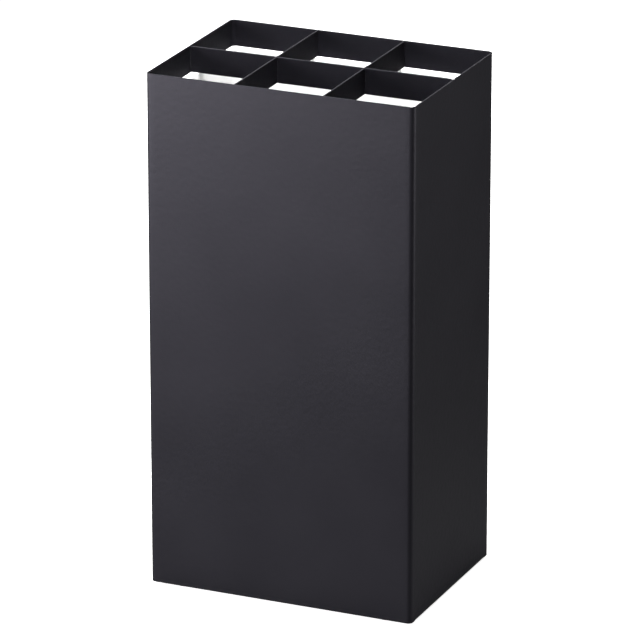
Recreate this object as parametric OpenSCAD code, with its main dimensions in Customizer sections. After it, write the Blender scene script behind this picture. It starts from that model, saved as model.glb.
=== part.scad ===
// Umbrella stand: an upright steel sleeve with six cells, formed by three interlocking strips that
// rest on the rim of a lift-out plastic bucket. Millimetres. +Z is up, -Y is the front, and the
// origin is on the floor under the middle of the stand.

/* [Sleeve] */
// Width of the sleeve, left to right
body_w = 265; // [220:1:320]
// Depth of the sleeve, front to back
body_d = 190; // [160:1:240]
// Height of the rim above the floor
body_h = 500; // [400:5:600]
// Thickness of the steel sheet
sheet_t = 1.2; // [0.8:0.1:2]
// Outside radius of the four upright bends
bend_r = 5; // [3:0.5:8]
// Reach of the flanges that are folded in at the foot of the sleeve
flange_w = 22; // [20:1:30]

/* [Grid] */
// Height of the three grid strips
strip_h = 25; // [15:1:40]
// Thickness of the grid strips
strip_t = 1.2; // [0.8:0.1:2]
// Gap between the end of a strip and the sleeve
strip_end_gap = 0.5; // [0.3:0.1:1]
// Gap on each side of a strip in the slot that it crosses
lap_gap = 0.1; // [0.05:0.05:0.3]

/* [Bucket] */
// Thickness of the bucket's walls
bucket_wall = 2; // [1.5:0.1:3]
// Thickness of the bucket's floor
bucket_floor = 2.5; // [2:0.1:4]
// Gap between the bucket's lip and the sleeve
lip_gap = 0.6; // [0.4:0.1:1.5]
// Reach of the lip outside the wall, which leaves room for fingertips behind the wall
lip_reach = 6; // [2:0.5:8]
// Height of the lip
lip_h = 3; // [2:0.5:6]
// How far each wall leans in from the rim to the floor
bucket_taper = 4; // [2:0.5:8]
// Length of the two finger slots
finger_slot_w = 90; // [70:1:110]
// Height of the two finger slots
finger_slot_h = 22; // [18:1:30]
// Distance from the bucket's rim down to the middle of a finger slot
finger_slot_drop = 60; // [30:1:90]

/* [Feet] */
// Diameter of the rubber pads
pad_d = 16; // [12:1:18]
// Thickness of the rubber pads
pad_t = 2; // [1:0.5:4]
// Distance from the side of the sleeve to the middle of a pad
pad_inset = 30; // [20:1:50]

/* [Hidden] */

$fn = 64;
cut = 1;                 // how far a cutting shape runs past the face that it cuts
columns = 3;             // cells from left to right
inner_w = body_w - 2 * sheet_t;
inner_d = body_d - 2 * sheet_t;
inner_r = bend_r - sheet_t;
sleeve_foot_z = pad_t;
flange_relief = 10;      // the flanges stop this far short of the corners
plate_gap = 0.2;         // between the base plate and the sleeve's walls
plate_z = sleeve_foot_z + sheet_t;
grid_z = body_h - strip_h;
cross_x = inner_w / columns / 2;
bucket_z = plate_z + sheet_t;
bucket_top_w = inner_w - 2 * (lip_gap + lip_reach);
bucket_top_d = inner_d - 2 * (lip_gap + lip_reach);
bucket_r = 8;            // outside radius of the bucket's upright corners
bucket_ring_w = 5;       // width of the ring that the bucket stands on
bucket_ring_h = 3;       // height of that ring
pad_x = body_w / 2 - pad_inset;
pad_y = body_d / 2 - flange_w + 1 + pad_d / 2;   // the pad stops 1 short of the flange's edge
powder_black = [0.09, 0.09, 0.10];
bucket_white = [0.93, 0.93, 0.92];
rubber_grey = [0.20, 0.20, 0.20];

// A flat rectangle with round corners, centred on the origin.
module round_rect(w, d, r) {
    square([w - 2 * r, d], center = true);
    square([w, d - 2 * r], center = true);
    for (x = [-1, 1], y = [-1, 1])
        translate([x * (w / 2 - r), y * (d / 2 - r)]) circle(r);
}

// The same rectangle as an upright block from z = low to z = high.
module round_block(w, d, r, low, high) {
    translate([0, 0, low]) linear_extrude(high - low) round_rect(w, d, r);
}

// A block whose sides lean out evenly: w and d are its size at the top, and lean is what each
// side loses by the bottom.
module leaning_block(w, d, r, lean, low, high) {
    hull() {
        round_block(w, d, r, high - 0.01, high, $fn = 32);
        round_block(w - 2 * lean, d - 2 * lean, r, low, low + 0.01, $fn = 32);
    }
}

// Steel sheet bent into a four-sided tube, with a flange folded in along the foot of each side.
module outer_sleeve() {
    color(powder_black) {
        difference() {
            round_block(body_w, body_d, bend_r, sleeve_foot_z, body_h);
            round_block(inner_w, inner_d, inner_r, sleeve_foot_z - cut, body_h + cut);
        }
        for (side = [-1, 1]) {
            flange(body_w, body_d, side);
            rotate([0, 0, 90]) flange(body_d, body_w, side);
        }
    }
}

// One folded flange along a side of this length, across the stand from the other side's.
module flange(length, across, side) {
    reach = flange_w - sheet_t / 2;
    middle = across / 2 - sheet_t / 2 - reach / 2;
    translate([0, side * middle, sleeve_foot_z + sheet_t / 2])
        cube([length - 2 * flange_relief, reach, sheet_t], center = true);
}

// Flat steel plate that lies on the flanges and is spot welded to them.
module base_plate() {
    color(powder_black)
        round_block(inner_w - 2 * plate_gap, inner_d - 2 * plate_gap, inner_r, plate_z,
                    plate_z + sheet_t);
}

// A grid strip along X, with a slot at each x in slots. The slots open upwards or downwards.
module strip(length, slots, opens_up) {
    slot_w = strip_t + 2 * lap_gap;
    slot_z = opens_up ? strip_h / 2 - lap_gap : -cut;
    difference() {
        translate([-length / 2, -strip_t / 2, 0]) cube([length, strip_t, strip_h]);
        for (x = slots)
            translate([x - slot_w / 2, -strip_t / 2 - cut, slot_z])
                cube([slot_w, strip_t + 2 * cut, strip_h / 2 + lap_gap + cut]);
    }
}

// The strip from left to right. The two cross strips drop into its slots.
module long_strip() {
    color(powder_black) translate([0, 0, grid_z])
        strip(inner_w - 2 * strip_end_gap, [-cross_x, cross_x], true);
}

// A strip from front to back. Its slot fits down over the long strip.
module cross_strip(side) {
    color(powder_black) translate([side * cross_x, 0, grid_z]) rotate([0, 0, 90])
        strip(inner_d - 2 * strip_end_gap, [0], false);
}

// Moulded bucket with leaning walls, an outward lip that carries the grid, a ring to stand on,
// and a finger slot in the front wall and in the back wall.
module inner_bucket() {
    rim = grid_z;
    inside_w = bucket_top_w - 2 * bucket_wall;
    inside_d = bucket_top_d - 2 * bucket_wall;
    ring_w = bucket_top_w - 2 * bucket_taper - 2 * bucket_ring_w;
    ring_d = bucket_top_d - 2 * bucket_taper - 2 * bucket_ring_w;
    color(bucket_white) difference() {
        union() {
            leaning_block(bucket_top_w, bucket_top_d, bucket_r, bucket_taper, bucket_z, rim);
            round_block(bucket_top_w + 2 * lip_reach, bucket_top_d + 2 * lip_reach, inner_r,
                        rim - lip_h, rim, $fn = 32);
        }
        leaning_block(inside_w, inside_d, bucket_r - bucket_wall, bucket_taper,
                      bucket_z + bucket_ring_h + bucket_floor, rim + cut);
        round_block(ring_w, ring_d, bucket_r / 2, bucket_z - cut, bucket_z + bucket_ring_h, $fn = 32);
        finger_slots(rim - finger_slot_drop);
    }
}

// A level bar with round ends that cuts both finger slots at once.
module finger_slots(z) {
    r = finger_slot_h / 2;
    reach = finger_slot_w / 2 - r;
    for (x = [-reach, reach])
        translate([x, 0, z]) rotate([90, 0, 0]) cylinder(h = body_d, r = r, center = true, $fn = 32);
    translate([0, 0, z]) cube([2 * reach, body_d, finger_slot_h], center = true);
}

// Round rubber pad stuck under a flange. side_x and side_y are -1 or 1.
module pad(side_x, side_y) {
    color(rubber_grey) translate([side_x * pad_x, side_y * pad_y, 0]) cylinder(h = pad_t, d = pad_d);
}

outer_sleeve();
base_plate();
long_strip();
cross_strip(-1);  // left_cross_strip
cross_strip(1);  // right_cross_strip
inner_bucket();
pad(-1, -1);  // pad_front_left
pad(1, -1);  // pad_front_right
pad(-1, 1);  // pad_back_left
pad(1, 1);  // pad_back_right
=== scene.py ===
import math
from collections import namedtuple

import bmesh
import bpy
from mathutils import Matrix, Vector


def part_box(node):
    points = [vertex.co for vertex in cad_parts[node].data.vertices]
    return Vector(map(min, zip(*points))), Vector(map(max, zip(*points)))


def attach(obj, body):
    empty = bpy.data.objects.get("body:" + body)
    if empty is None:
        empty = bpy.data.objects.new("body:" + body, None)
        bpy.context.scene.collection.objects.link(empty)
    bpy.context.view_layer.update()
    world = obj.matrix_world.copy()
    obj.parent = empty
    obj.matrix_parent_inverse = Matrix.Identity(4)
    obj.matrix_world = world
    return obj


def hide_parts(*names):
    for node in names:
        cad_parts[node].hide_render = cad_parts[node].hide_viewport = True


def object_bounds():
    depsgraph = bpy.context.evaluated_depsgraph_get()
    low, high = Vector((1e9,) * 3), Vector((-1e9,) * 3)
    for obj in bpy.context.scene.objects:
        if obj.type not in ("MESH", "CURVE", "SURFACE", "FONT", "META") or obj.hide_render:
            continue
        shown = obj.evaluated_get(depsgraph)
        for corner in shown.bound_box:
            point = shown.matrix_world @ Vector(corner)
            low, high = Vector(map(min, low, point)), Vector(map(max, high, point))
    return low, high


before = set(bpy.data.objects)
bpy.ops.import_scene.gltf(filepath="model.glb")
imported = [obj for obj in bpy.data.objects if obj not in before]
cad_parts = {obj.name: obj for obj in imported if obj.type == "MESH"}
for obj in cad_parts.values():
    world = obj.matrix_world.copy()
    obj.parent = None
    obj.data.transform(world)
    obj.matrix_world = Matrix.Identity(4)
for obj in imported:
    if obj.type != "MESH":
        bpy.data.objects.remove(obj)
cad_low, cad_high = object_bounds()


# ---------------------------------------------------------------------------------------------
# Studio. A pale flat floor in a white room, with a large low soft light on the left and a nearer
# one inside it, a fill on the right and one behind, and two small ones above that shine into the
# bucket. The camera looks down a little on the front and the right side.
# ---------------------------------------------------------------------------------------------

CAMERA_AZIMUTH = math.radians(23.62)
CAMERA_ELEVATION = math.radians(19.54)
CAMERA_DISTANCE = 5.139
CAMERA_LENS_MM = 311.15
AIM_RIGHT = -0.00048
AIM_UP = 0.00006
FLOOR_SIZE = 16.0


def add_node(tree, kind, **settings):
    """A new node. A setting names one of its properties, or else one of its input sockets."""
    node = tree.nodes.new(kind)
    for name, value in settings.items():
        if hasattr(node, name):
            setattr(node, name, value)
        else:
            node.inputs[name.replace("_", " ")].default_value = value
    return node


def add_softbox(name, place, aim, size, watts, spread=180.0):
    """A square soft light of this size in metres. spread is its beam's angle in degrees."""
    light = bpy.data.lights.new(name, "AREA")
    light.shape = "RECTANGLE"
    light.size = size
    light.size_y = size
    light.energy = watts
    light.spread = math.radians(spread)
    softbox = bpy.data.objects.new(name, light)
    softbox.location = place
    softbox.rotation_euler = (Vector(place) - Vector(aim)).to_track_quat("Z", "Y").to_euler()
    bpy.context.scene.collection.objects.link(softbox)


def add_camera():
    """A long lens aimed at the middle of the stand."""
    right = Vector((math.cos(CAMERA_AZIMUTH), math.sin(CAMERA_AZIMUTH), 0))
    level = Vector((math.sin(CAMERA_AZIMUTH), -math.cos(CAMERA_AZIMUTH), 0))
    back = level * math.cos(CAMERA_ELEVATION) + Vector((0, 0, math.sin(CAMERA_ELEVATION)))
    up = back.cross(right)
    middle = (cad_low + cad_high) / 2
    data = bpy.data.cameras.new("camera")
    data.lens = CAMERA_LENS_MM
    data.sensor_width = 36.0
    data.clip_end = 60.0
    camera = bpy.data.objects.new("camera", data)
    camera.location = middle + right * AIM_RIGHT + up * AIM_UP + back * CAMERA_DISTANCE
    camera.rotation_euler = back.to_track_quat("Z", "Y").to_euler()
    bpy.context.scene.collection.objects.link(camera)
    bpy.context.scene.camera = camera


def add_floor():
    """A flat floor that looks almost white, and reflects a softer grey into the panels."""
    mesh = bpy.data.meshes.new("floor")
    half = FLOOR_SIZE / 2
    corners = [(-half, -half, 0), (half, -half, 0), (half, half, 0), (-half, half, 0)]
    mesh.from_pydata(corners, [], [(0, 1, 2, 3)])
    floor = bpy.data.objects.new("floor", mesh)
    bpy.context.scene.collection.objects.link(floor)
    material = bpy.data.materials.new("pale_floor")
    material.use_nodes = True
    tree = material.node_tree
    tree.nodes.clear()
    seen = add_node(tree, "ShaderNodeBsdfDiffuse", Color=(0.92, 0.92, 0.92, 1))
    lift = add_node(tree, "ShaderNodeEmission", Color=(1, 1, 1, 1), Strength=0.9)
    both = add_node(tree, "ShaderNodeAddShader")
    mirrored = add_node(tree, "ShaderNodeBsdfDiffuse", Color=(0.10, 0.10, 0.10, 1))
    path = add_node(tree, "ShaderNodeLightPath")
    choice = add_node(tree, "ShaderNodeMixShader")
    output = add_node(tree, "ShaderNodeOutputMaterial")
    tree.links.new(seen.outputs["BSDF"], both.inputs[0])
    tree.links.new(lift.outputs["Emission"], both.inputs[1])
    tree.links.new(path.outputs["Is Camera Ray"], choice.inputs["Fac"])
    tree.links.new(mirrored.outputs["BSDF"], choice.inputs[1])
    tree.links.new(both.outputs["Shader"], choice.inputs[2])
    tree.links.new(choice.outputs["Shader"], output.inputs["Surface"])
    mesh.materials.append(material)


def light_room():
    """The room is white to the eye, and lights the stand from all round with a dimmer grey."""
    world = bpy.data.worlds.new("pale_room")
    world.use_nodes = True
    tree = world.node_tree
    tree.nodes.clear()
    seen = add_node(tree, "ShaderNodeBackground", Color=(1, 1, 1, 1), Strength=1.0)
    glow = add_node(tree, "ShaderNodeBackground", Color=(0.97, 0.97, 1, 1), Strength=0.08)
    path = add_node(tree, "ShaderNodeLightPath")
    choice = add_node(tree, "ShaderNodeMixShader")
    output = add_node(tree, "ShaderNodeOutputWorld")
    tree.links.new(path.outputs["Is Camera Ray"], choice.inputs["Fac"])
    tree.links.new(glow.outputs["Background"], choice.inputs[1])
    tree.links.new(seen.outputs["Background"], choice.inputs[2])
    tree.links.new(choice.outputs["Shader"], output.inputs["Surface"])
    bpy.context.scene.world = world


bpy.context.scene.view_settings.view_transform = "Standard"
add_camera()
add_floor()
light_room()
add_softbox("key_softbox", (-0.85, -1.45, 0.60), (0, 0, 0.30), size=0.8, watts=14.5)
add_softbox("near_softbox", (-0.7, -0.7, 0.59), (0, 0, 0.40), size=0.4, watts=17.0)
add_softbox("fill_softbox", (1.75, 0.64, 0.25), (0, 0, 0.30), size=0.8, watts=18.5)
add_softbox("back_softbox", (-0.744, 1.596, 0.674), (0, 0, 0.30), size=0.8, watts=22.0)
add_softbox("top_softbox", (0.085, -0.48, 1.675), (0, 0, 0.47), size=0.3, watts=2.2, spread=40.0)
add_softbox("overhead_softbox", (0, 0, 1.8), (0, 0, 0.5), size=0.3, watts=2.0, spread=40.0)


# ---------------------------------------------------------------------------------------------
# Outer sleeve. One sheet of 1.2 mm steel, bent round four upright edges and closed by a weld that
# is ground flush up the middle of the back. Four flanges are folded in along its foot, and the
# base plate is spot welded to them. It is powder coated black, with a fine satin grain.
# ---------------------------------------------------------------------------------------------

SLEEVE_BEND = 0.005
BEND_STEPS = 8
PANEL_ROWS = 22
PANEL_COLUMNS = 12
PANEL_BOW = 0.0003
SIDE_INSET = 0.00003
RIM_INSET = 0.00001
RIM_ROUNDING = 0.0005
FLANGE_REACH = 0.022
FLANGE_RELIEF = 0.010
RELIEF_SLIT = 0.0004
FOOT_BEND = 0.0012
FOOT_BEND_STEPS = 6
CORNER_LIFT = 0.0005
WELD_COLUMNS = (-0.0012, -0.0006, 0.0, 0.0006, 0.0012)
WELD_GROUND = (0.0004, 0.0014)
WELD_SINK = 0.00008
SPOT_WELD_RADIUS = 0.003
SPOT_WELD_DEPTH = 0.00018
SPOT_WELD_STEPS = 3
NEAREST_COLUMN = 0.0003
FIRST_FLANGE_ROW = 0.002
LAST_FLANGE_ROW = 0.003
SLACK = 0.0001
SHARP_ANGLE = math.radians(35)
ROUNDED_ANGLE = math.radians(40)
FRONT_SPOT_WELDS = (-0.075, -0.030, 0.030, 0.075)
SIDE_SPOT_WELDS = (-0.045, 0.0, 0.045)

sleeve_low, sleeve_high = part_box("outer_sleeve")
plate_low, plate_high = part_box("base_plate")
sheet = plate_high.z - plate_low.z


def add_piece(name, bm, body, slot, *nodes):
    """Makes the object for a finished mesh, puts it on its body, and hides the CAD nodes that it
    stands for.
    """
    bmesh.ops.recalc_face_normals(bm, faces=bm.faces)
    mesh = bpy.data.meshes.new(name)
    bm.to_mesh(mesh)
    bm.free()
    mesh.shade_smooth()
    mesh.set_sharp_from_angle(angle=SHARP_ANGLE)
    piece = bpy.data.objects.new(name, mesh)
    bpy.context.scene.collection.objects.link(piece)
    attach(piece, body)
    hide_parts(*nodes)
    return piece


def soften_edges(piece, width, segments=2):
    """Rounds the edges, as a coat of powder or a mould does."""
    bevel = piece.modifiers.new("soft_edges", "BEVEL")
    bevel.width = width
    bevel.segments = segments
    bevel.limit_method = "ANGLE"
    bevel.angle_limit = ROUNDED_ANGLE
    bevel.harden_normals = True


def dent_depth(share):
    """How deep a spot weld's dent is at this share of its radius."""
    return SPOT_WELD_DEPTH * math.cos(share * math.pi / 2) ** 0.5 if share < 1 else 0.0


def flange_dent(along, depth, welds):
    """How far a flange is pinched up at this place along it and this far in from the wall."""
    shares = [math.hypot(along - weld, depth - FLANGE_REACH / 2) / SPOT_WELD_RADIUS for weld in welds]
    return dent_depth(min(shares))


def across_weld(middle):
    """The places of the vertices across a spot weld about this place."""
    steps = range(-SPOT_WELD_STEPS, SPOT_WELD_STEPS + 1)
    return [middle + SPOT_WELD_RADIUS * i / SPOT_WELD_STEPS for i in steps]


def side_places(half, welds, seam):
    """The places along one side of the sleeve where the mesh has a column of vertices."""
    edge = half - SLEEVE_BEND
    relief = half - FLANGE_RELIEF
    places = {-edge, edge, -relief, relief, -relief - RELIEF_SLIT, relief + RELIEF_SLIT}
    places.update(-relief + 2 * relief * i / PANEL_COLUMNS for i in range(PANEL_COLUMNS + 1))
    for weld in welds:
        places.update(across_weld(weld))
    if seam:
        places.update(WELD_COLUMNS)
    spaced = []
    for place in sorted(places):
        if not spaced or place - spaced[-1] > NEAREST_COLUMN:
            spaced.append(place)
    return spaced


# One upright line of the sleeve's mesh. On a side, place is how far along it the line stands. In a
# bend, place is the bend's centre, reach its radius, and turn the angle that the sheet has turned.
Column = namedtuple("Column", "along out place reach straight welds seam turn")


def build_sleeve():
    """The middle of the sheet, as one surface. Its thickness is added afterwards."""
    bm = bmesh.new()
    half_w = sleeve_high.x - sheet / 2 - SIDE_INSET
    half_d = sleeve_high.y - sheet / 2 - SIDE_INSET
    bend = SLEEVE_BEND - sheet / 2
    foot = sleeve_low.z
    fold_z = foot + sheet / 2 + FOOT_BEND
    rim = sleeve_high.z - RIM_INSET
    heights = [fold_z + (rim - fold_z) * i / PANEL_ROWS for i in range(PANEL_ROWS + 1)]
    # Each side is drawn looking at it from outside: along runs to the right, out points away.
    sides = [
        (Vector((1, 0, 0)), Vector((0, -1, 0)), half_w, half_d, FRONT_SPOT_WELDS, False),
        (Vector((0, 1, 0)), Vector((1, 0, 0)), half_d, half_w, SIDE_SPOT_WELDS, False),
        (Vector((-1, 0, 0)), Vector((0, 1, 0)), half_w, half_d, FRONT_SPOT_WELDS, True),
        (Vector((0, -1, 0)), Vector((-1, 0, 0)), half_d, half_w, SIDE_SPOT_WELDS, False),
    ]
    columns = []
    for along, out, half, reach, welds, seam in sides:
        straight = half - bend
        for place in side_places(half + sheet / 2, welds, seam):
            columns.append(Column(along, out, place, reach, straight, welds, seam, None))
        corner = along * straight + out * (reach - bend)
        for step in range(1, BEND_STEPS):
            turn = math.pi / 2 * step / BEND_STEPS
            columns.append(Column(along, out, corner, bend, straight, welds, seam, turn))

    def wall_point(column, z):
        """The point of a column at this height."""
        along, out, place, reach, straight, welds, seam, turn = column
        if turn is not None:
            flat = place + along * (math.sin(turn) * reach) + out * (math.cos(turn) * reach)
            return Vector((flat.x, flat.y, z))
        level = min(1.0, max(0.0, (z - foot) / (sleeve_high.z - foot)))
        bow = PANEL_BOW * math.cos(place / straight * math.pi / 2) * math.sin(level * math.pi)
        ground = seam and WELD_GROUND[0] < abs(place) < WELD_GROUND[1]
        sink = WELD_SINK if ground else 0.0
        flat = along * place + out * (reach - bow - sink)
        return Vector((flat.x, flat.y, z))

    def fold_points(column):
        """The bend at the foot, then the flange, from the wall inwards."""
        along, out, place, reach, straight, welds, seam, turn = column
        points = []
        for step in range(1, FOOT_BEND_STEPS + 1):
            angle = math.pi / 2 * step / FOOT_BEND_STEPS
            flat = along * place + out * (reach - FOOT_BEND * (1 - math.cos(angle)))
            points.append(Vector((flat.x, flat.y, fold_z - FOOT_BEND * math.sin(angle))))
        inner = FLANGE_REACH - sheet / 2
        depths = [FOOT_BEND + FIRST_FLANGE_ROW, *across_weld(FLANGE_REACH / 2)]
        for depth in depths + [inner - LAST_FLANGE_ROW, inner]:
            flat = along * place + out * (reach - depth)
            height = fold_z - FOOT_BEND + flange_dent(place, depth, welds)
            points.append(Vector((flat.x, flat.y, height)))
        return points

    walls = [[bm.verts.new(wall_point(column, z)) for z in heights] for column in columns]
    count = len(columns)
    for i in range(count):
        left, right = walls[i], walls[(i + 1) % count]
        for k in range(PANEL_ROWS):
            bm.faces.new((left[k], right[k], right[k + 1], left[k + 1]))
    # The flanges hang from the middle of each side. The corners end straight, just above the foot.
    ends = {}
    folds = {}
    for i in range(count):
        j = (i + 1) % count
        here, there = columns[i], columns[j]
        on_side = here.turn is None and there.turn is None and here.along == there.along
        relief = here.straight + bend + sheet / 2 - FLANGE_RELIEF + SLACK
        if on_side and max(abs(here.place), abs(there.place)) < relief:
            for n, column in ((i, here), (j, there)):
                if n not in folds:
                    folds[n] = [walls[n][0]] + [bm.verts.new(p) for p in fold_points(column)]
            for k in range(len(folds[i]) - 1):
                bm.faces.new((folds[i][k], folds[i][k + 1], folds[j][k + 1], folds[j][k]))
        elif on_side and min(abs(here.place), abs(there.place)) < relief:
            continue
        else:
            for n, column in ((i, here), (j, there)):
                if n not in ends:
                    ends[n] = bm.verts.new(wall_point(column, foot + CORNER_LIFT))
            bm.faces.new((ends[i], ends[j], walls[j][0], walls[i][0]))
    return bm


def coat_texture():
    """Node group for powder coat: cloudy tone, grain height, and a mask of the rounded edges, which
    carries their duller roughness and their painted edge colour.
    """
    tree = bpy.data.node_groups.new("powder_coat_texture", "ShaderNodeTree")
    sockets = tree.interface
    sockets.new_socket("Grain Scale", in_out="INPUT", socket_type="NodeSocketFloat")
    sockets.new_socket("Cloud Scale", in_out="INPUT", socket_type="NodeSocketFloat")
    sockets.new_socket("Edge Width", in_out="INPUT", socket_type="NodeSocketFloat")
    sockets.new_socket("Tone", in_out="OUTPUT", socket_type="NodeSocketFloat")
    sockets.new_socket("Height", in_out="OUTPUT", socket_type="NodeSocketFloat")
    sockets.new_socket("Edges", in_out="OUTPUT", socket_type="NodeSocketFloat")
    given = add_node(tree, "NodeGroupInput")
    result = add_node(tree, "NodeGroupOutput")
    place = add_node(tree, "ShaderNodeTexCoord")
    cloud = add_node(tree, "ShaderNodeTexNoise", Detail=4.0, Roughness=0.55)
    grain = add_node(tree, "ShaderNodeTexNoise", Detail=2.0, Roughness=0.6)
    pebble = add_node(tree, "ShaderNodeTexVoronoi", feature="SMOOTH_F1", Smoothness=0.6)
    height = add_node(tree, "ShaderNodeMath", operation="ADD")
    rounded = add_node(tree, "ShaderNodeBevel", samples=4)
    surface = add_node(tree, "ShaderNodeNewGeometry")
    facing = add_node(tree, "ShaderNodeVectorMath", operation="DOT_PRODUCT")
    edge = add_node(tree, "ShaderNodeMapRange", From_Min=0.995, From_Max=0.80)
    patchy = add_node(tree, "ShaderNodeMath", operation="MULTIPLY")
    for noise, scale in ((cloud, "Cloud Scale"), (grain, "Grain Scale"), (pebble, "Grain Scale")):
        tree.links.new(place.outputs["Object"], noise.inputs["Vector"])
        tree.links.new(given.outputs[scale], noise.inputs["Scale"])
    tree.links.new(grain.outputs["Fac"], height.inputs[0])
    tree.links.new(pebble.outputs["Distance"], height.inputs[1])
    tree.links.new(given.outputs["Edge Width"], rounded.inputs["Radius"])
    tree.links.new(rounded.outputs["Normal"], facing.inputs[0])
    tree.links.new(surface.outputs["Normal"], facing.inputs[1])
    tree.links.new(facing.outputs["Value"], edge.inputs["Value"])
    tree.links.new(edge.outputs["Result"], patchy.inputs[0])
    tree.links.new(cloud.outputs["Fac"], patchy.inputs[1])
    tree.links.new(cloud.outputs["Fac"], result.inputs["Tone"])
    tree.links.new(height.outputs["Value"], result.inputs["Height"])
    tree.links.new(patchy.outputs["Value"], result.inputs["Edges"])
    return tree


def add_group(tree, group, **values):
    """Places a node group in a material with its own values."""
    node = tree.nodes.new("ShaderNodeGroup")
    node.node_tree = group
    for name, value in values.items():
        node.inputs[name.replace("_", " ")].default_value = value
    return node


EDGE_DULLING = 1.2
# A colour mix node has a socket of every kind, so its own are found by their numbers.
MIX_SHARE = 0
COLOUR_A = 6
COLOUR_B = 7
COLOUR_RESULT = 2


def powder_coat(name, dark, pale, painted_edge_tone, shine, roughness):
    """Black powder coat: dark and pale are its two tones, and the edge colour is painted light and
    shade on its rounded edges, which are also duller.
    roughness is its range over the cloudy tone."""
    material = bpy.data.materials.new(name)
    material.use_nodes = True
    tree = material.node_tree
    shader = tree.nodes["Principled BSDF"]
    shader.inputs["Metallic"].default_value = 0.0
    shader.inputs["IOR"].default_value = 1.5
    shader.inputs["Specular IOR Level"].default_value = shine
    shader.inputs["Specular Tint"].default_value = (0.88, 0.84, 1.0, 1)
    texture = add_group(
        tree, powder_texture, Grain_Scale=200.0, Cloud_Scale=9.0, Edge_Width=0.0011
    )
    tone = add_node(tree, "ShaderNodeValToRGB")
    tone.color_ramp.elements[0].position = 0.3
    tone.color_ramp.elements[0].color = dark
    tone.color_ramp.elements[1].position = 0.7
    tone.color_ramp.elements[1].color = pale
    # The edge colour is mixed onto the rounded edges: painted shade on the outer coat, a painted
    # highlight on the inner one.
    edges = add_node(tree, "ShaderNodeMix", data_type="RGBA")
    edges.inputs[COLOUR_B].default_value = painted_edge_tone
    rough = add_node(tree, "ShaderNodeMapRange", To_Min=roughness[0], To_Max=roughness[1])
    dull_edges = add_node(tree, "ShaderNodeMath", operation="MULTIPLY_ADD")
    dull_edges.inputs[1].default_value = EDGE_DULLING
    bump = add_node(tree, "ShaderNodeBump", Strength=1.0, Distance=0.00008)
    tree.links.new(texture.outputs["Tone"], tone.inputs["Fac"])
    tree.links.new(texture.outputs["Edges"], edges.inputs[MIX_SHARE])
    tree.links.new(tone.outputs["Color"], edges.inputs[COLOUR_A])
    tree.links.new(edges.outputs[COLOUR_RESULT], shader.inputs["Base Color"])
    tree.links.new(texture.outputs["Tone"], rough.inputs["Value"])
    tree.links.new(texture.outputs["Edges"], dull_edges.inputs[0])
    tree.links.new(rough.outputs["Result"], dull_edges.inputs[2])
    tree.links.new(dull_edges.outputs["Value"], shader.inputs["Roughness"])
    tree.links.new(texture.outputs["Height"], bump.inputs["Height"])
    tree.links.new(bump.outputs["Normal"], shader.inputs["Normal"])
    return material


powder_texture = coat_texture()
black_coat = powder_coat(
    "black_powder_coat",
    dark=(0.0080, 0.0077, 0.0098, 1),
    pale=(0.0105, 0.0101, 0.0126, 1),
    # Painted shade: the edges of the outer coat are darker, so that the sleeve's rounded rim reads as
    # a dark line.
    painted_edge_tone=(0.003, 0.003, 0.004, 1),
    shine=0.27,
    roughness=(0.45, 0.53),
)
# A darker, duller copy of the coat for the sleeve's inner side and cut rim and for the grid strips.
# Its darker tone is painted shade for the inside of the stand.
shaded_dull_coat = powder_coat(
    "shaded_dull_black_powder_coat",
    dark=(0.0054, 0.0052, 0.0068, 1),
    pale=(0.0072, 0.0069, 0.0089, 1),
    # Painted highlight: pale edges give the grid strips and the sleeve's cut rim light top lines.
    painted_edge_tone=(0.085, 0.085, 0.093, 1),
    shine=0.045,
    roughness=(0.70, 0.78),
)
sleeve = add_piece("sleeve", build_sleeve(), "stand", "powder_coated_steel", "outer_sleeve")
# The inner side and the cut rim take the sleeve's second coat, the darker copy with painted shade.
thickness = sleeve.modifiers.new("sheet", "SOLIDIFY")
thickness.thickness = sheet
thickness.offset = 0.0
thickness.use_even_offset = True
thickness.material_offset = 1
thickness.material_offset_rim = 1
soften_edges(sleeve, RIM_ROUNDING, 3)
sleeve.data.materials.append(black_coat)
sleeve.data.materials.append(shaded_dull_coat)


# ---------------------------------------------------------------------------------------------
# Base plate. A flat steel plate that lies on the sleeve's flanges and closes its foot. Fourteen
# round dents mark where it is spot welded to them. It is coated together with the sleeve.
# ---------------------------------------------------------------------------------------------

PLATE_CORNER = 0.0036
PLATE_CORNER_STEPS = 8
PLATE_EDGE = 0.00015
DENT_STEPS = 20
DENT_RINGS = (1.0, 0.8, 0.55, 0.25)


def round_rectangle(half_w, half_d, radius, steps):
    """Points round a rectangle with round corners, anticlockwise from the right-hand side."""
    points = []
    for quarter, (sx, sy) in enumerate(((1, 1), (-1, 1), (-1, -1), (1, -1))):
        for step in range(steps + 1):
            angle = math.pi / 2 * (quarter + step / steps)
            x = sx * (half_w - radius) + radius * math.cos(angle)
            y = sy * (half_d - radius) + radius * math.sin(angle)
            points.append((x, y))
    return points


def ring_of(bm, points, z):
    """New vertices at these points, all at one height."""
    return [bm.verts.new((x, y, z)) for x, y in points]


def bridge(bm, ring_a, ring_b):
    """A band of quads between two rings with the same number of points."""
    count = len(ring_a)
    for i in range(count):
        j = (i + 1) % count
        bm.faces.new((ring_a[i], ring_a[j], ring_b[j], ring_b[i]))


def circle_points(x, y, radius, steps):
    """Points round a circle about (x, y)."""
    turns = [math.tau * i / steps for i in range(steps)]
    return [(x + radius * math.cos(a), y + radius * math.sin(a)) for a in turns]


def closed_loop(bm, ring):
    """New edges that join a ring's vertices."""
    return [bm.edges.new((ring[i - 1], ring[i])) for i in range(len(ring))]


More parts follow.
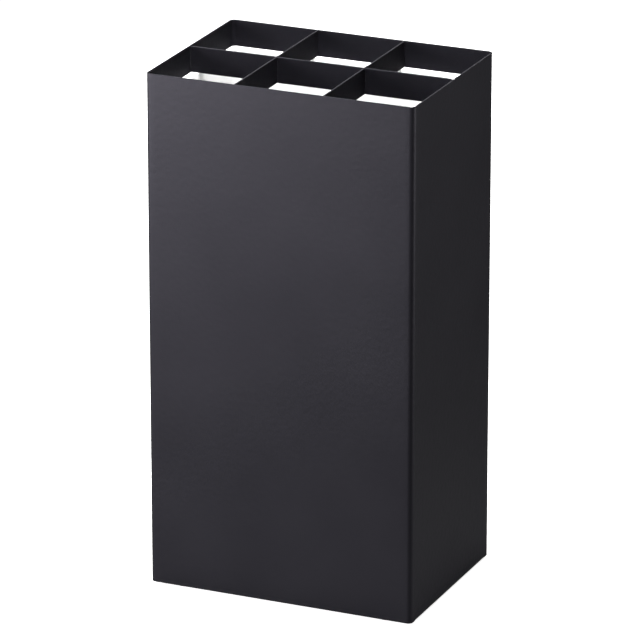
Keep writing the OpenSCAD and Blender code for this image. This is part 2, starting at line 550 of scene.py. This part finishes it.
def build_base_plate():
    """The plate, dented from above at each spot weld."""
    bm = bmesh.new()
    flange_middle = FLANGE_REACH / 2
    weld_y = sleeve_high.y - flange_middle
    weld_x = sleeve_high.x - flange_middle
    welds = [(x, side * weld_y) for side in (-1, 1) for x in FRONT_SPOT_WELDS]
    welds += [(side * weld_x, y) for side in (-1, 1) for y in SIDE_SPOT_WELDS]
    outline = round_rectangle(plate_high.x, plate_high.y, PLATE_CORNER, PLATE_CORNER_STEPS)
    rims = []
    for z, dents in ((plate_high.z, welds), (plate_low.z, [])):
        rim = ring_of(bm, outline, z)
        edges = closed_loop(bm, rim)
        for x, y in dents:
            rings = []
            for share in DENT_RINGS:
                points = circle_points(x, y, SPOT_WELD_RADIUS * share, DENT_STEPS)
                rings.append(ring_of(bm, points, z - dent_depth(share)))
            edges += closed_loop(bm, rings[0])
            for outer, inner in zip(rings, rings[1:]):
                bridge(bm, outer, inner)
            bm.faces.new(rings[-1])
        bmesh.ops.triangle_fill(bm, edges=edges, use_beauty=True)
        rims.append(rim)
    bridge(bm, rims[0], rims[1])
    return bm


plate = add_piece("floor_plate", build_base_plate(), "stand", "powder_coated_steel", "base_plate")
soften_edges(plate, PLATE_EDGE)
plate.data.materials.append(black_coat)


# ---------------------------------------------------------------------------------------------
# Grid. Three strips of the same steel, 25 mm deep. The long one is slotted from above and the two
# cross strips from below, so that they lap at the crossings. The grid rests on the bucket's lip.
# ---------------------------------------------------------------------------------------------

LAP_SLOT = 0.0014
LAP_SLIP = 0.0001
STRIP_EDGE = 0.00022


def build_strip(low, high, crossings, opens_up):
    """A flat strip with half-depth slots at these places along it."""
    along_x = high.x - low.x > high.y - low.y
    start, end = (low.x, high.x) if along_x else (low.y, high.y)
    near, far = (low.y, high.y) if along_x else (low.x, high.x)
    middle = (low.z + high.z) / 2
    stop = middle - LAP_SLIP if opens_up else middle + LAP_SLIP
    cut, whole = (high.z, low.z) if opens_up else (low.z, high.z)
    outline = [(start, whole), (start, cut)]
    for place in crossings:
        left, right = place - LAP_SLOT / 2, place + LAP_SLOT / 2
        outline += [(left, cut), (left, stop), (right, stop), (right, cut)]
    outline += [(end, cut), (end, whole)]
    bm = bmesh.new()
    faces = []
    for across in (near, far):
        if along_x:
            faces.append([bm.verts.new((a, across, z)) for a, z in outline])
        else:
            faces.append([bm.verts.new((across, a, z)) for a, z in outline])
        bm.faces.new(faces[-1])
    bridge(bm, faces[0], faces[1])
    return bm


def add_strip(name, node, crossings, opens_up):
    """Makes the strip that stands for this CAD node."""
    low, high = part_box(node)
    strip = add_piece(
        name, build_strip(low, high, crossings, opens_up), "grid", "powder_coated_steel", node
    )
    soften_edges(strip, STRIP_EDGE)
    # The strips take the darker copy of the coat, whose tone is painted shade.
    strip.data.materials.append(shaded_dull_coat)


def middle_of(node):
    """The middle of a CAD node's box."""
    low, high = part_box(node)
    return (low + high) / 2


cross_places = (middle_of("left_cross_strip").x, middle_of("right_cross_strip").x)
add_strip("grid_long_strip", "long_strip", cross_places, True)
add_strip("grid_left_cross_strip", "left_cross_strip", (middle_of("long_strip").y,), False)
add_strip("grid_right_cross_strip", "right_cross_strip", (middle_of("long_strip").y,), False)


# ---------------------------------------------------------------------------------------------
# Inner bucket. Moulded in white polypropylene, with leaning walls, an outward lip that carries
# the grid, a foot ring, and a finger slot near the top of the front and the back. It only stands
# on the base plate, and lifts straight out.
# ---------------------------------------------------------------------------------------------

BUCKET_WALL = 0.002
BUCKET_FLOOR = 0.0025
BUCKET_TAPER = 0.004
BUCKET_CORNER = 0.008
BUCKET_LIP_REACH = 0.006
BUCKET_LIP_HEIGHT = 0.003
BUCKET_RING_HEIGHT = 0.003
BUCKET_RING_WIDTH = 0.005
BUCKET_BOW = 0.0006
BUCKET_EDGE = 0.0004
RECESS_CORNER = 0.004
RECESS_ROUNDING = 0.0006
RECESS_EDGE_ROUNDING = 0.0005
FOOT_ROUNDING = 0.0012
FLOOR_ROUNDING = 0.004
LIP_ROUNDING = 0.0008
LIP_CORNER = 0.0038
RIM_EDGE_ROUNDING = 0.0010
WALL_ROWS = 14
CORNER_STEPS = 8
ROUNDING_STEPS = 4
FLOOR_ROUNDING_STEPS = 5
SIDE_STEPS = 10
MARK_RADIUS = 0.006
MARK_SLOPE = 0.0008
MARK_RISE = 0.0004
MARK_STEPS = 32
FINGER_SLOT_LENGTH = 0.090
FINGER_SLOT_HEIGHT = 0.022
FINGER_SLOT_DROP = 0.060
SLOT_END_STEPS = 12
CUTTER_REACH = 1.2

bucket_low, bucket_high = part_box("inner_bucket")


def bucket_profile():
    """Rings from the foot, up the outside, over the lip and down the inside.

    Each is (inset from the lip's outer edge, height, corner radius, share of the panel's bow)."""
    rim = bucket_high.z
    foot = bucket_low.z
    lip_under = rim - BUCKET_LIP_HEIGHT

    def outside(z):
        return BUCKET_LIP_REACH + BUCKET_TAPER * (rim - z) / (rim - foot)

    def inside(z):
        return outside(z) + BUCKET_WALL

    rings = []
    ring_inner = outside(foot) + BUCKET_RING_WIDTH
    recess = foot + BUCKET_RING_HEIGHT
    corner = BUCKET_CORNER
    rings.append((ring_inner + RECESS_ROUNDING, recess, RECESS_CORNER - RECESS_ROUNDING, 0))
    rings.append((ring_inner, recess - RECESS_ROUNDING, RECESS_CORNER, 0))
    rings.append((ring_inner, foot + RECESS_EDGE_ROUNDING, RECESS_CORNER, 0))
    rings.append((ring_inner - RECESS_EDGE_ROUNDING, foot, RECESS_CORNER + RECESS_EDGE_ROUNDING, 0))
    quarter = [math.pi / 2 * step / ROUNDING_STEPS for step in range(ROUNDING_STEPS + 1)]
    for angle in quarter:
        inset = outside(foot) + FOOT_ROUNDING * (1 - math.sin(angle))
        z = foot + FOOT_ROUNDING * (1 - math.cos(angle))
        rings.append((inset, z, corner - FOOT_ROUNDING, 0))
    start = foot + FOOT_ROUNDING
    end = lip_under - LIP_ROUNDING
    for step in range(1, WALL_ROWS):
        z = start + (end - start) * step / WALL_ROWS
        rings.append((outside(z), z, corner, math.sin(math.pi * step / WALL_ROWS)))
    rings.append((outside(lip_under), end, corner, 0))
    rings.append((outside(lip_under) - LIP_ROUNDING, lip_under, corner, 0))
    for angle in quarter:
        z = lip_under + LIP_ROUNDING * (1 - math.cos(angle))
        rings.append((LIP_ROUNDING * (1 - math.sin(angle)), z, LIP_CORNER, 0))
    for angle in quarter:
        z = rim - LIP_ROUNDING * (1 - math.sin(angle))
        rings.append((LIP_ROUNDING * (1 - math.cos(angle)), z, LIP_CORNER, 0))
    inner_corner = corner - BUCKET_WALL
    for angle in quarter:
        inset = inside(rim) - RIM_EDGE_ROUNDING * (1 - math.sin(angle))
        z = rim - RIM_EDGE_ROUNDING * (1 - math.cos(angle))
        rings.append((inset, z, inner_corner, 0))
    floor = recess + BUCKET_FLOOR
    start = rim - RIM_EDGE_ROUNDING
    end = floor + FLOOR_ROUNDING
    for step in range(1, WALL_ROWS):
        z = start + (end - start) * step / WALL_ROWS
        rings.append((inside(z), z, inner_corner, math.sin(math.pi * step / WALL_ROWS)))
    for step in range(FLOOR_ROUNDING_STEPS + 1):
        angle = math.pi / 2 * step / FLOOR_ROUNDING_STEPS
        inset = inside(floor) + FLOOR_ROUNDING * (1 - math.cos(angle))
        rings.append((inset, floor + FLOOR_ROUNDING * (1 - math.sin(angle)), inner_corner, 0))
    return rings


def bucket_outline(inset, radius, bow):
    """Points round the bucket at one level, with its four sides bowed in a little."""
    half_w = bucket_high.x - inset
    half_d = bucket_high.y - inset
    corners = round_rectangle(half_w, half_d, radius, CORNER_STEPS)
    corner_points = CORNER_STEPS + 1
    points = []
    for quarter in range(4):
        points += corners[quarter * corner_points:(quarter + 1) * corner_points]
        start_x, start_y = points[-1]
        end_x, end_y = corners[(quarter + 1) * corner_points % len(corners)]
        side_x, side_y = end_x - start_x, end_y - start_y
        length = math.hypot(side_x, side_y)
        for step in range(1, SIDE_STEPS):
            share = step / SIDE_STEPS
            push = bow * BUCKET_BOW * math.sin(math.pi * share)
            x = start_x + side_x * share - side_y / length * push
            y = start_y + side_y * share + side_x / length * push
            points.append((x, y))
    return points


def build_bucket():
    """The bucket before its finger slots are cut."""
    bm = bmesh.new()
    rings = [ring_of(bm, bucket_outline(inset, radius, bow), z)
             for inset, z, radius, bow in bucket_profile()]
    for lower, upper in zip(rings, rings[1:]):
        bridge(bm, lower, upper)
    # The underside and the inner floor are each closed round a low moulding mark.
    for ring, rise in ((rings[0], -MARK_RISE), (rings[-1], MARK_RISE)):
        z = ring[0].co.z
        mark = ring_of(bm, circle_points(0, 0, MARK_RADIUS, MARK_STEPS), z)
        raised = circle_points(0, 0, MARK_RADIUS - MARK_SLOPE, MARK_STEPS)
        face = ring_of(bm, raised, z + rise)
        ring_edges = [bm.edges.get((ring[i - 1], ring[i])) for i in range(len(ring))]
        mark_edges = closed_loop(bm, mark)
        bmesh.ops.triangle_fill(bm, edges=ring_edges + mark_edges, use_beauty=True)
        bridge(bm, mark, face)
        bm.faces.new(face)
    return bm


def build_slot_cutter():
    """A bar with round ends that cuts the finger slots through the front and the back."""
    bm = bmesh.new()
    radius = FINGER_SLOT_HEIGHT / 2
    reach = FINGER_SLOT_LENGTH / 2 - radius
    height = bucket_high.z - FINGER_SLOT_DROP
    outline = []
    for side, first in ((1, -math.pi / 2), (-1, math.pi / 2)):
        for step in range(SLOT_END_STEPS + 1):
            angle = first + math.pi * step / SLOT_END_STEPS
            outline.append((side * reach + radius * math.cos(angle),
                            height + radius * math.sin(angle)))
    ends = []
    for y in (bucket_low.y * CUTTER_REACH, bucket_high.y * CUTTER_REACH):
        ends.append([bm.verts.new((x, y, z)) for x, z in outline])
        bm.faces.new(ends[-1])
    bridge(bm, ends[0], ends[1])
    bmesh.ops.recalc_face_normals(bm, faces=bm.faces)
    mesh = bpy.data.meshes.new("finger_slot_cutter")
    bm.to_mesh(mesh)
    bm.free()
    cutter = bpy.data.objects.new("finger_slot_cutter", mesh)
    bpy.context.scene.collection.objects.link(cutter)
    return cutter


def cut_finger_slots(bucket):
    """Cuts the slots and keeps the result, so that no cutter stays in the scene."""
    cutter = build_slot_cutter()
    cut = bucket.modifiers.new("finger_slots", "BOOLEAN")
    cut.operation = "DIFFERENCE"
    cut.solver = "EXACT"
    cut.object = cutter
    bpy.context.view_layer.update()
    graph = bpy.context.evaluated_depsgraph_get()
    cut_mesh = bpy.data.meshes.new_from_object(bucket.evaluated_get(graph))
    bucket.modifiers.remove(cut)
    bucket.data = cut_mesh
    cut_mesh.name = "bucket"
    bpy.data.objects.remove(cutter)


def white_plastic():
    """Matt polypropylene with a fine spark-eroded skin and a slightly cloudy tone."""
    material = bpy.data.materials.new("white_polypropylene")
    material.use_nodes = True
    tree = material.node_tree
    shader = tree.nodes["Principled BSDF"]
    shader.inputs["IOR"].default_value = 1.49
    place = add_node(tree, "ShaderNodeTexCoord")
    cloud = add_node(tree, "ShaderNodeTexNoise", Scale=14.0, Detail=5.0, Roughness=0.6)
    tone = add_node(tree, "ShaderNodeValToRGB")
    tone.color_ramp.elements[0].color = (0.90, 0.90, 0.895, 1)
    tone.color_ramp.elements[1].color = (0.94, 0.94, 0.935, 1)
    rough = add_node(tree, "ShaderNodeMapRange", To_Min=0.38, To_Max=0.50)
    skin = add_node(tree, "ShaderNodeTexNoise", Scale=1800.0, Detail=2.0)
    bump = add_node(tree, "ShaderNodeBump", Strength=0.12, Distance=0.00005)
    tree.links.new(place.outputs["Object"], cloud.inputs["Vector"])
    tree.links.new(place.outputs["Object"], skin.inputs["Vector"])
    tree.links.new(cloud.outputs["Fac"], tone.inputs["Fac"])
    tree.links.new(cloud.outputs["Fac"], rough.inputs["Value"])
    tree.links.new(tone.outputs["Color"], shader.inputs["Base Color"])
    tree.links.new(rough.outputs["Result"], shader.inputs["Roughness"])
    tree.links.new(skin.outputs["Fac"], bump.inputs["Height"])
    tree.links.new(bump.outputs["Normal"], shader.inputs["Normal"])
    return material


bucket = add_piece("bucket", build_bucket(), "bucket", "white_plastic", "inner_bucket")
cut_finger_slots(bucket)
soften_edges(bucket, BUCKET_EDGE)
bucket.data.materials.append(white_plastic())


# ---------------------------------------------------------------------------------------------
# Rubber pads. Four round self-adhesive pads under the flanges, each with a rounded edge and two
# shallow grip grooves in its sole.
# ---------------------------------------------------------------------------------------------

PAD_EDGE = 0.0004
PAD_EDGE_STEPS = 4
PAD_GROOVES = (0.35, 0.65)
PAD_GROOVE_DEPTH = 0.0003
GROOVE_MOUTH = 0.0005
GROOVE_BED = 0.0003
PAD_LEAN = 0.0001
PAD_TOP_CHAMFER = 0.0003
PAD_STEPS = 48


def pad_profile(radius, low, high):
    """(radius, height) from the middle of the sole, out round the edge and back over the top."""
    profile = []
    for share in PAD_GROOVES:
        at = radius * share
        bed = low + PAD_GROOVE_DEPTH
        profile += [(at - GROOVE_MOUTH, low), (at - GROOVE_BED, bed)]
        profile += [(at + GROOVE_BED, bed), (at + GROOVE_MOUTH, low)]
    for step in range(PAD_EDGE_STEPS + 1):
        angle = math.pi / 2 * step / PAD_EDGE_STEPS
        profile.append((radius - PAD_EDGE * (1 - math.sin(angle)),
                        low + PAD_EDGE * (1 - math.cos(angle))))
    top = radius - PAD_LEAN
    profile += [(top, high - PAD_TOP_CHAMFER), (top - PAD_TOP_CHAMFER, high)]
    return profile


def build_pad(low, high):
    """One pad, turned about its own middle, that fills this box."""
    bm = bmesh.new()
    middle = (low + high) / 2
    radius = (high.x - low.x) / 2
    rings = [ring_of(bm, circle_points(middle.x, middle.y, r, PAD_STEPS), z)
             for r, z in pad_profile(radius, low.z, high.z)]
    for inner, outer in zip(rings, rings[1:]):
        bridge(bm, inner, outer)
    bm.faces.new(rings[0])
    bm.faces.new(rings[-1])
    return bm


def pad_rubber():
    """Dark grey rubber, dull and faintly speckled with dust."""
    material = bpy.data.materials.new("pad_rubber")
    material.use_nodes = True
    tree = material.node_tree
    shader = tree.nodes["Principled BSDF"]
    shader.inputs["Specular IOR Level"].default_value = 0.3
    place = add_node(tree, "ShaderNodeTexCoord")
    speckle = add_node(tree, "ShaderNodeTexNoise", Scale=900.0, Detail=4.0)
    tone = add_node(tree, "ShaderNodeValToRGB")
    tone.color_ramp.elements[0].position = 0.4
    tone.color_ramp.elements[0].color = (0.020, 0.020, 0.020, 1)
    tone.color_ramp.elements[1].position = 0.8
    tone.color_ramp.elements[1].color = (0.055, 0.054, 0.052, 1)
    rough = add_node(tree, "ShaderNodeMapRange", To_Min=0.75, To_Max=0.92)
    bump = add_node(tree, "ShaderNodeBump", Strength=0.3, Distance=0.0001)
    tree.links.new(place.outputs["Object"], speckle.inputs["Vector"])
    tree.links.new(speckle.outputs["Fac"], tone.inputs["Fac"])
    tree.links.new(speckle.outputs["Fac"], rough.inputs["Value"])
    tree.links.new(speckle.outputs["Fac"], bump.inputs["Height"])
    tree.links.new(tone.outputs["Color"], shader.inputs["Base Color"])
    tree.links.new(rough.outputs["Result"], shader.inputs["Roughness"])
    tree.links.new(bump.outputs["Normal"], shader.inputs["Normal"])
    return material


rubber = pad_rubber()
for corner in ("front_left", "front_right", "back_left", "back_right"):
    node = "pad_" + corner
    pad = add_piece("foot_" + node, build_pad(*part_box(node)), "stand", "pad_rubber", node)
    pad.data.materials.append(rubber)
